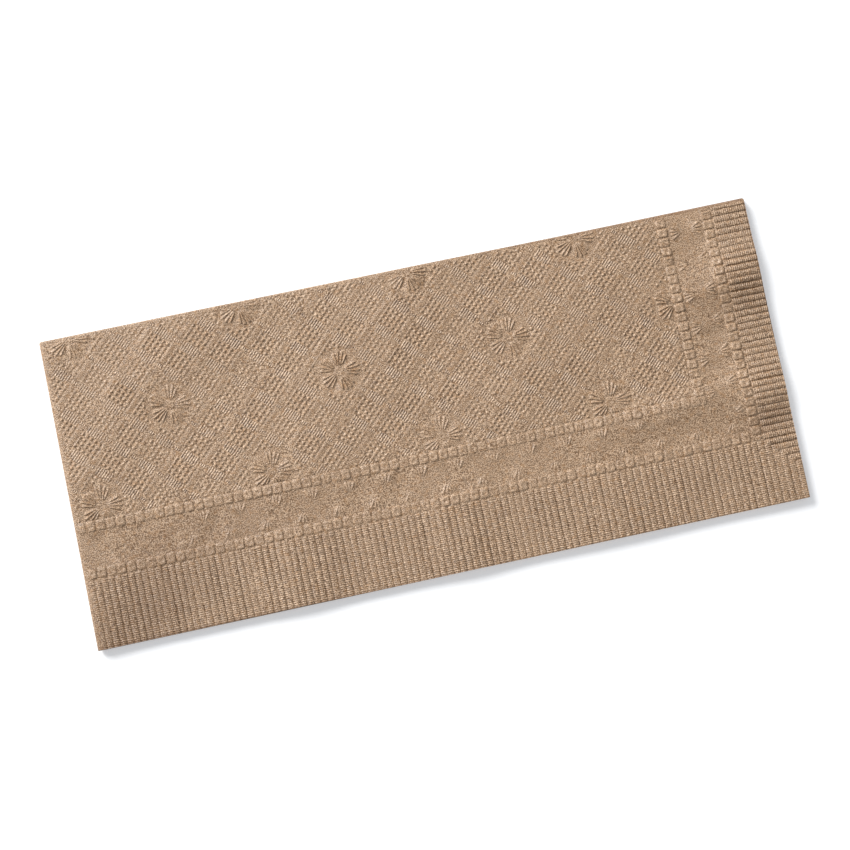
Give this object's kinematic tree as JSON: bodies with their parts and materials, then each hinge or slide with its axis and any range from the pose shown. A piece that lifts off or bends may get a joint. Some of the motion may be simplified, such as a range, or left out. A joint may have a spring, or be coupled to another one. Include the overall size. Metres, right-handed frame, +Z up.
{
  "type": "paper napkin",
  "caption": "Brown kraft paper napkin folded to a flat oblong, embossed with a ribbed border, rows of squares, daisies and a woven ground",
  "frame": {"origin": "Under the middle of the folded napkin, on the surface that it lies on", "axes": "+X along the length from the cross fold to the free ends, +Y from the open long side to the folded long side, +Z up through the stack of leaves"},
  "size_m": [0.2159, 0.0942, 0.0023],
  "materials": {
    "kraft_paper": "matte"
  },
  "bodies": {
    "root": {"napkin": "kraft_paper"}
  },
  "joints": []
}
